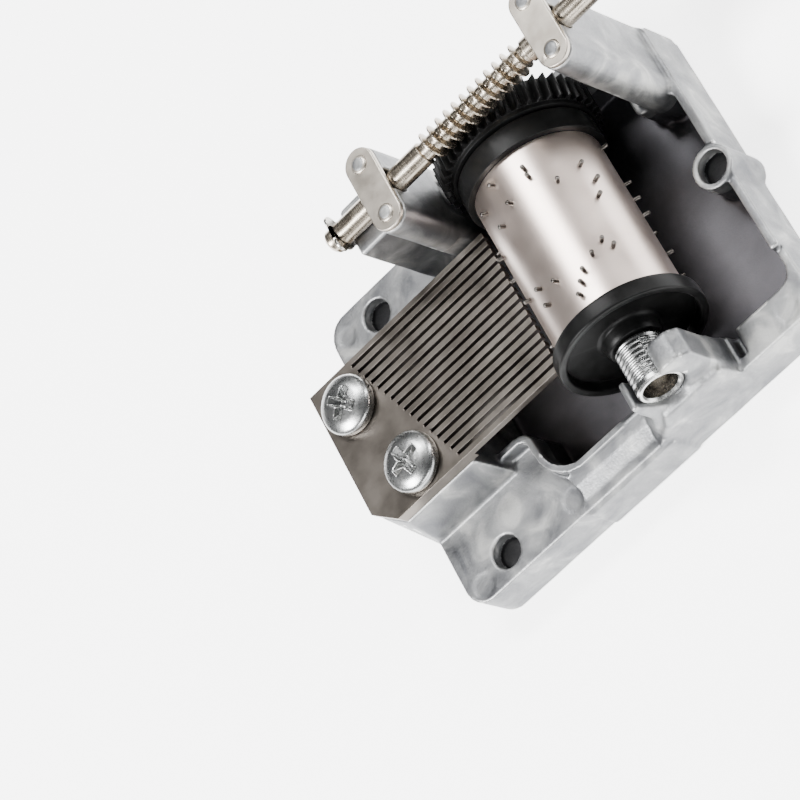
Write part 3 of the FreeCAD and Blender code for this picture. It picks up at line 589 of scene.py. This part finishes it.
def worm():
    """The shaft: a single-start right-hand worm, the clip's groove and a reduced end for the crank."""
    low, high = span("worm_shaft")
    centre = Vector((0, (low.y + high.y) / 2, (low.z + high.z) / 2))
    seat = high.x - 2.4
    phase_zero = drum_axis.x + 0.75 * LEAD

    def ridge(along, angle, radius):
        if not WORM_START - 0.05 < along < WORM_END + 0.05 or radius != WORM_ROOT:
            return 0
        turns = (along - phase_zero) / LEAD - angle / (2 * math.pi)
        off = abs(turns - round(turns)) * LEAD
        fade = min(1, (along - WORM_START + 0.05) / 0.3, (WORM_END + 0.05 - along) / 0.3)
        return (WORM_TIP - WORM_ROOT) * min(1, max(0, (0.27 - off) / 0.2)) * fade

    profile = eased([(low.x, 0), (low.x, SHAFT_RAD - 0.3), (low.x + 0.3, SHAFT_RAD), (CLIP_X, SHAFT_RAD),
                     (CLIP_X, SHAFT_RAD - 0.35), (CLIP_X + 0.35, SHAFT_RAD - 0.35),
                     (CLIP_X + 0.35, SHAFT_RAD), (WORM_START - 0.4, SHAFT_RAD),
                     (WORM_START - 0.3, WORM_ROOT)], 0.05)
    rows = int((WORM_END - WORM_START + 0.2) / LEAD * 22)
    profile += [(WORM_START - 0.1 + (WORM_END - WORM_START + 0.2) * row / rows, WORM_ROOT)
                for row in range(rows + 1)]
    profile += eased([(high.x, 0), (high.x, SHAFT_RAD - 0.4), (high.x - 0.12, SHAFT_RAD - 0.3),
                      (seat, SHAFT_RAD - 0.3), (seat, SHAFT_RAD), (WORM_END + 0.4, SHAFT_RAD),
                      (WORM_END + 0.3, WORM_ROOT)], 0.05)[::-1]
    form = lathe(profile, centre, X, 96, ridge)
    settle(to_object("worm_spindle", form), "crank", "shaft_steel", shaft_steel, replaces=("worm_shaft",))


def crank():
    plain = (("shaft_clip", "retaining_clip", 0.05, "clip_steel", spring_steel),
             ("crank_hub", "crank_collar", 0.15, "shaft_steel", shaft_steel),
             ("crank_arm", "crank_lever", 0.16, "strap_nickel", strap_nickel),
             ("crank_nut", "dome_nut", 0.08, "screw_zinc", bright_zinc),
             ("knob_pin", "knob_rivet", 0.08, "screw_zinc", bright_zinc))
    for node, name, width, slot, finish in plain:
        piece = softened(to_object(name, cad_copy(node)), width, 3)
        settle(piece, "crank", slot, finish, replaces=(node,))


def knob():
    """The turned knob: a waisted grip with rounded ends and a bore for its rivet."""
    low, high = span("crank_knob")
    centre = Vector((0, (low.y + high.y) / 2, (low.z + high.z) / 2))
    rad = (high.y - low.y) / 2
    long = high.x - low.x
    rows = 28
    waist = []
    for row in range(rows + 1):
        t = row / rows
        swell = 0.76 + 0.24 * math.sin(math.pi * min(1, max(0, (t - 0.05) / 1.2))) ** 2
        ends = min(1, (t / 0.1)) ** 0.5 if t < 0.1 else min(1, (1 - t) / 0.16) ** 0.5
        waist.append((low.x + long * (0.01 + 0.98 * t), 1.5 + (rad * swell - 1.5) * ends))
    profile = [(low.x, 1.18)] + waist + [(high.x, 1.18)]
    settle(to_object("grip", lathe(profile, centre, X, 96)), "knob", "knob_plastic", knob_black,
           replaces=("crank_knob",))


def under_teeth():
    """The tuning weights and the damper tongues below the comb's teeth."""
    for node, name, slot, finish in (("tuning_leads", "lead_weights", "lead", lead),
                                     ("tooth_dampers", "damper_tongues", "damper", film)):
        piece = softened(to_object(name, cad_copy(node)), 0.03)
        settle(piece, "base", slot, finish, replaces=(node,))


casting()
stud_heads()
comb()
comb_screws()
under_teeth()
sleeve()
end_wheel()
worm_wheel()
arbor()
bush()
rear_bush()
straps()
worm()
crank()
knob()


# ---------------------------------------------------------------- stage, light and camera

FLOOR_REACH = 2
FLOOR_GLOW = 3.2


def floor():
    form = bmesh.new()
    corners = [form.verts.new((x * FLOOR_REACH, y * FLOOR_REACH, 0))
               for x, y in ((-1, -1), (1, -1), (1, 1), (-1, 1))]
    form.faces.new(corners)
    piece = to_object("table", form)
    pale = bpy.data.materials.new("pale_table")
    pale.use_nodes = True
    shader = pale.node_tree.nodes["Principled BSDF"]
    shader.inputs["Base Color"].default_value = (0.92, 0.92, 0.92, 1)
    shader.inputs["Roughness"].default_value = 0.6
    shader.inputs["Emission Color"].default_value = (1, 1, 1, 1)
    shader.inputs["Emission Strength"].default_value = FLOOR_GLOW
    piece.data.materials.append(pale)


def softbox(name, place, wide, tall, power):
    """A rectangular light, sized and placed in metres, that faces the movement."""
    light = bpy.data.lights.new(name, "AREA")
    light.shape = "RECTANGLE"
    light.size = wide
    light.size_y = tall
    light.energy = power
    lamp = bpy.data.objects.new(name, light)
    lamp.location = place
    lamp.rotation_euler = (Vector((0, 0, 0.01)) - Vector(place)).to_track_quat("-Z", "Y").to_euler()
    bpy.context.scene.collection.objects.link(lamp)


# The camera's place, its line of sight and its right-hand side, and its lens in millimetres.
EYE = Vector((118.54, -168.13, 262.68)) * MM
SIGHT = Vector((-0.40135, 0.51082, -0.76025)).normalized()
RIGHT = Vector((0.66300, -0.41066, -0.62593)).normalized()
LENS = 169.45


def camera():
    data = bpy.data.cameras.new("camera")
    data.lens = LENS
    data.sensor_width = 36
    data.clip_start = 0.01
    view = bpy.data.objects.new("camera", data)
    up = RIGHT.cross(SIGHT).normalized()
    turn = Matrix((RIGHT, up, -SIGHT)).transposed()
    view.matrix_world = Matrix.Translation(EYE) @ turn.to_4x4()
    bpy.context.scene.collection.objects.link(view)
    bpy.context.scene.camera = view


floor()
softbox("key", (-0.30, -0.14, 0.40), 0.20, 0.20, 7.5)
softbox("front", (0.02, -0.42, 0.16), 0.30, 0.10, 1.6)
softbox("far", (0.36, 0.10, 0.22), 0.08, 0.30, 1.5)
softbox("back", (0.05, 0.25, 0.42), 0.24, 0.10, 2.8)
world = bpy.data.worlds.new("room")
world.use_nodes = True
world.node_tree.nodes["Background"].inputs["Color"].default_value = (0.95, 0.97, 1.0, 1)
world.node_tree.nodes["Background"].inputs["Strength"].default_value = 0.10
bpy.context.scene.world = world
camera()
